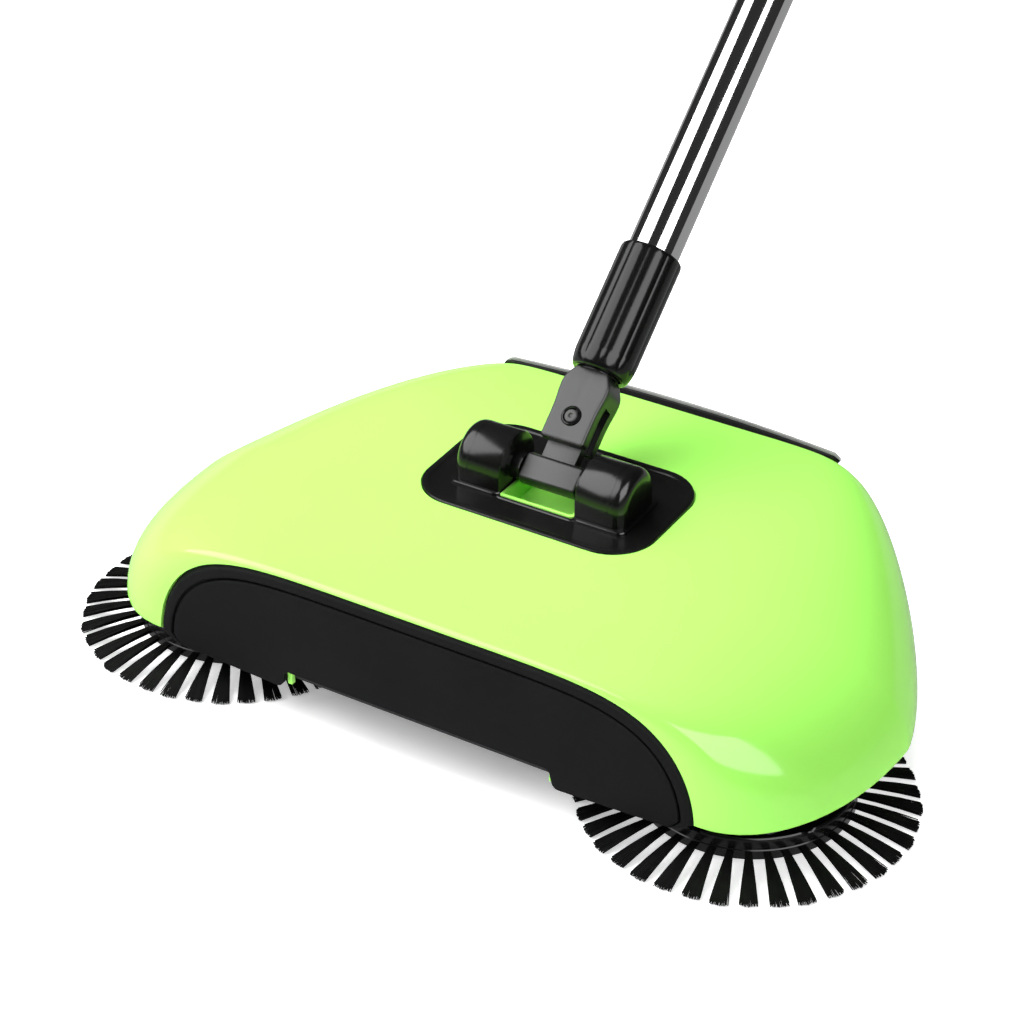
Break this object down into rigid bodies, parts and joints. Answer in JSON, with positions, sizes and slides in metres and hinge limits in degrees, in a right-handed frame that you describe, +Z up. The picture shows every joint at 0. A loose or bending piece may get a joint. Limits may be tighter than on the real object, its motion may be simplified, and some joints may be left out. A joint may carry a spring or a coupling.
{
  "type": "carpet sweeper",
  "caption": "Push-along carpet sweeper: low arched housing on driven wheels, corner disc brushes, cross roller, rear dust bin and a tilting, swivelling telescopic pole",
  "frame": {"origin": "on the floor, at the centre of the front glide's sole, midway between the two disc brushes", "axes": "+X across the housing to its right as seen from the front left, +Y towards the rear where the pole leans, +Z up; forward travel is -Y"},
  "size_m": [0.386, 0.5846, 0.4775],
  "materials": {
    "top_shell": "glossy lime moulded shell",
    "front_bumper": "fine matte charcoal",
    "chassis": "satin black moulding",
    "front_glide": "smooth hard rubber",
    "dust_lip": "soft rubber blade",
    "housing_screw_1": "zinc plated steel",
    "housing_screw_2": "zinc plated steel",
    "housing_screw_3": "zinc plated steel",
    "housing_screw_4": "zinc plated steel",
    "hinge_base": "gloss black",
    "wheel_axle_right": "zinc plated steel",
    "wheel_axle_left": "zinc plated steel",
    "caster_axle_right": "zinc plated steel",
    "caster_axle_left": "zinc plated steel",
    "hinge_axle": "zinc plated steel",
    "hinge_washer_right": "gloss black ring",
    "hinge_washer_left": "gloss black ring",
    "wheel_hub_left": "white acetal",
    "wheel_tyre_left": "black rubber tread",
    "wheel_hub_right": "white acetal",
    "wheel_tyre_right": "black rubber tread",
    "roller_shaft": "zinc plated steel",
    "roller_core": "satin black tube",
    "roller_pinion_right": "white acetal",
    "roller_pinion_left": "white acetal",
    "roller_bristles_1": "black nylon bristle tufts",
    "roller_bristles_2": "black nylon bristle tufts",
    "roller_bristles_3": "black nylon bristle tufts",
    "roller_bristles_4": "black nylon bristle tufts",
    "dust_bin": "satin black moulding",
    "bin_trim": "gloss black edge",
    "handle_yoke": "satin black, slightly grey",
    "neck_clevis": "satin black, slightly grey",
    "swivel_pin": "domed dark pin head",
    "handle_sleeve": "gloss black, long flutes",
    "outer_tube": "polished chrome",
    "lock_collar": "gloss black, ribbed",
    "inner_tube": "polished chrome",
    "guide_plug": "satin black",
    "pole_grip": "moulded soft grip",
    "grip_cap": "gloss black",
    "upright_pinion_right": "white acetal",
    "idler_gear_rear_right": "white acetal",
    "idler_gear_front_right": "white acetal",
    "disc_spindle_right": "white acetal",
    "disc_hub_right": "gloss black rotor",
    "disc_bristles_right": "black nylon bristle tufts",
    "caster_roller_right": "hard black plastic",
    "upright_pinion_left": "white acetal",
    "idler_gear_rear_left": "white acetal",
    "idler_gear_front_left": "white acetal",
    "disc_spindle_left": "white acetal",
    "disc_hub_left": "gloss black rotor",
    "disc_bristles_left": "black nylon bristle tufts",
    "caster_roller_left": "hard black plastic"
  },
  "bodies": {
    "head": {"top_shell": "top_shell", "front_bumper": "front_bumper", "chassis": "chassis", "front_glide": "front_glide", "dust_lip": "dust_lip", "housing_screw_1": "housing_screw_1", "housing_screw_2": "housing_screw_2", "housing_screw_3": "housing_screw_3", "housing_screw_4": "housing_screw_4", "hinge_base": "hinge_base", "wheel_axle_right": "wheel_axle_right", "wheel_axle_left": "wheel_axle_left", "caster_axle_right": "caster_axle_right", "caster_axle_left": "caster_axle_left", "hinge_axle": "hinge_axle", "hinge_washer_right": "hinge_washer_right", "hinge_washer_left": "hinge_washer_left"},
    "wheel_left": {"wheel_hub_left": "wheel_hub_left", "wheel_tyre_left": "wheel_tyre_left"},
    "wheel_right": {"wheel_hub_right": "wheel_hub_right", "wheel_tyre_right": "wheel_tyre_right"},
    "roller": {"roller_shaft": "roller_shaft", "roller_core": "roller_core", "roller_pinion_right": "roller_pinion_right", "roller_pinion_left": "roller_pinion_left", "roller_bristles_1": "roller_bristles_1", "roller_bristles_2": "roller_bristles_2", "roller_bristles_3": "roller_bristles_3", "roller_bristles_4": "roller_bristles_4"},
    "bin": {"dust_bin": "dust_bin", "bin_trim": "bin_trim"},
    "yoke": {"handle_yoke": "handle_yoke"},
    "neck": {"neck_clevis": "neck_clevis", "swivel_pin": "swivel_pin", "handle_sleeve": "handle_sleeve", "outer_tube": "outer_tube"},
    "collar": {"lock_collar": "lock_collar"},
    "inner_pole": {"inner_tube": "inner_tube", "guide_plug": "guide_plug", "pole_grip": "pole_grip", "grip_cap": "grip_cap"},
    "upright_right": {"upright_pinion_right": "upright_pinion_right"},
    "idler_rear_right": {"idler_gear_rear_right": "idler_gear_rear_right"},
    "idler_front_right": {"idler_gear_front_right": "idler_gear_front_right"},
    "disc_right": {"disc_spindle_right": "disc_spindle_right", "disc_hub_right": "disc_hub_right", "disc_bristles_right": "disc_bristles_right"},
    "caster_right": {"caster_roller_right": "caster_roller_right"},
    "upright_left": {"upright_pinion_left": "upright_pinion_left"},
    "idler_rear_left": {"idler_gear_rear_left": "idler_gear_rear_left"},
    "idler_front_left": {"idler_gear_front_left": "idler_gear_front_left"},
    "disc_left": {"disc_spindle_left": "disc_spindle_left", "disc_hub_left": "disc_hub_left", "disc_bristles_left": "disc_bristles_left"},
    "caster_left": {"caster_roller_left": "caster_roller_left"}
  },
  "joints": [
    {"name": "wheel_left_spin", "type": "hinge", "parent": "head", "child": "wheel_left", "pos_m": [-0.09, 0.084, 0.024], "axis": [1, 0, 0], "continuous": true},
    {"name": "wheel_right_spin", "type": "hinge", "parent": "head", "child": "wheel_right", "pos_m": [0.09, 0.084, 0.024], "axis": [1, 0, 0], "continuous": true},
    {"name": "roller_spin", "type": "hinge", "parent": "head", "child": "roller", "pos_m": [0, 0.07621, 0.0195], "axis": [1, 0, 0], "continuous": true},
    {"name": "upright_right_spin", "type": "hinge", "parent": "head", "child": "upright_right", "pos_m": [0.10456, 0.084, 0.045], "axis": [0, 0, 1], "continuous": true},
    {"name": "idler_rear_right_spin", "type": "hinge", "parent": "head", "child": "idler_rear_right", "pos_m": [0.11014, 0.0586, 0.0517], "axis": [0, 0, 1], "continuous": true},
    {"name": "idler_front_right_spin", "type": "hinge", "parent": "head", "child": "idler_front_right", "pos_m": [0.117, 0.02735, 0.0517], "axis": [0, 0, 1], "continuous": true},
    {"name": "disc_right_spin", "type": "hinge", "parent": "head", "child": "disc_right", "pos_m": [0.123, 0, 0.02], "axis": [0, 0, 1], "continuous": true},
    {"name": "caster_right_spin", "type": "hinge", "parent": "head", "child": "caster_right", "pos_m": [0.092, 0.138, 0.008], "axis": [1, 0, 0], "continuous": true},
    {"name": "upright_left_spin", "type": "hinge", "parent": "head", "child": "upright_left", "pos_m": [-0.10456, 0.084, 0.045], "axis": [0, 0, 1], "continuous": true},
    {"name": "idler_rear_left_spin", "type": "hinge", "parent": "head", "child": "idler_rear_left", "pos_m": [-0.11014, 0.0586, 0.0517], "axis": [0, 0, 1], "continuous": true},
    {"name": "idler_front_left_spin", "type": "hinge", "parent": "head", "child": "idler_front_left", "pos_m": [-0.117, 0.02735, 0.0517], "axis": [0, 0, 1], "continuous": true},
    {"name": "disc_left_spin", "type": "hinge", "parent": "head", "child": "disc_left", "pos_m": [-0.123, 0, 0.02], "axis": [0, 0, 1], "continuous": true},
    {"name": "caster_left_spin", "type": "hinge", "parent": "head", "child": "caster_left", "pos_m": [-0.092, 0.138, 0.008], "axis": [1, 0, 0], "continuous": true},
    {"name": "bin_slide", "type": "slide", "parent": "head", "child": "bin", "axis": [0, 1, 0], "range_m": [0, 0.12]},
    {"name": "handle_tilt", "type": "hinge", "parent": "head", "child": "yoke", "pos_m": [0, 0.056, 0.0795], "axis": [1, 0, 0], "range_deg": [-26, 50]},
    {"name": "handle_swivel", "type": "hinge", "parent": "yoke", "child": "neck", "pos_m": [0, 0.0747, 0.09564], "axis": [0, 0.6534, -0.757], "range_deg": [-45, 45]},
    {"name": "collar_twist", "type": "hinge", "parent": "neck", "child": "collar", "pos_m": [0, 0.38302, 0.36178], "axis": [0, 0.757, 0.6534], "range_deg": [0, 90]},
    {"name": "pole_telescope", "type": "slide", "parent": "neck", "child": "inner_pole", "axis": [0, 0.757, 0.6534], "range_m": [0, 0.3]}
  ],
  "couplings": [
    {"joint": "wheel_left_spin", "follows": "disc_right_spin", "ratio": -0.68571},
    {"joint": "wheel_right_spin", "follows": "disc_right_spin", "ratio": -0.68571},
    {"joint": "roller_spin", "follows": "disc_right_spin", "ratio": -1.5673},
    {"joint": "upright_right_spin", "follows": "disc_right_spin", "ratio": -1.2},
    {"joint": "idler_rear_right_spin", "follows": "disc_right_spin", "ratio": 0.75},
    {"joint": "idler_front_right_spin", "follows": "disc_right_spin", "ratio": -0.75},
    {"joint": "upright_left_spin", "follows": "disc_right_spin", "ratio": 1.2},
    {"joint": "idler_rear_left_spin", "follows": "disc_right_spin", "ratio": -0.75},
    {"joint": "idler_front_left_spin", "follows": "disc_right_spin", "ratio": 0.75},
    {"joint": "disc_left_spin", "follows": "disc_right_spin", "ratio": -1}
  ]
}
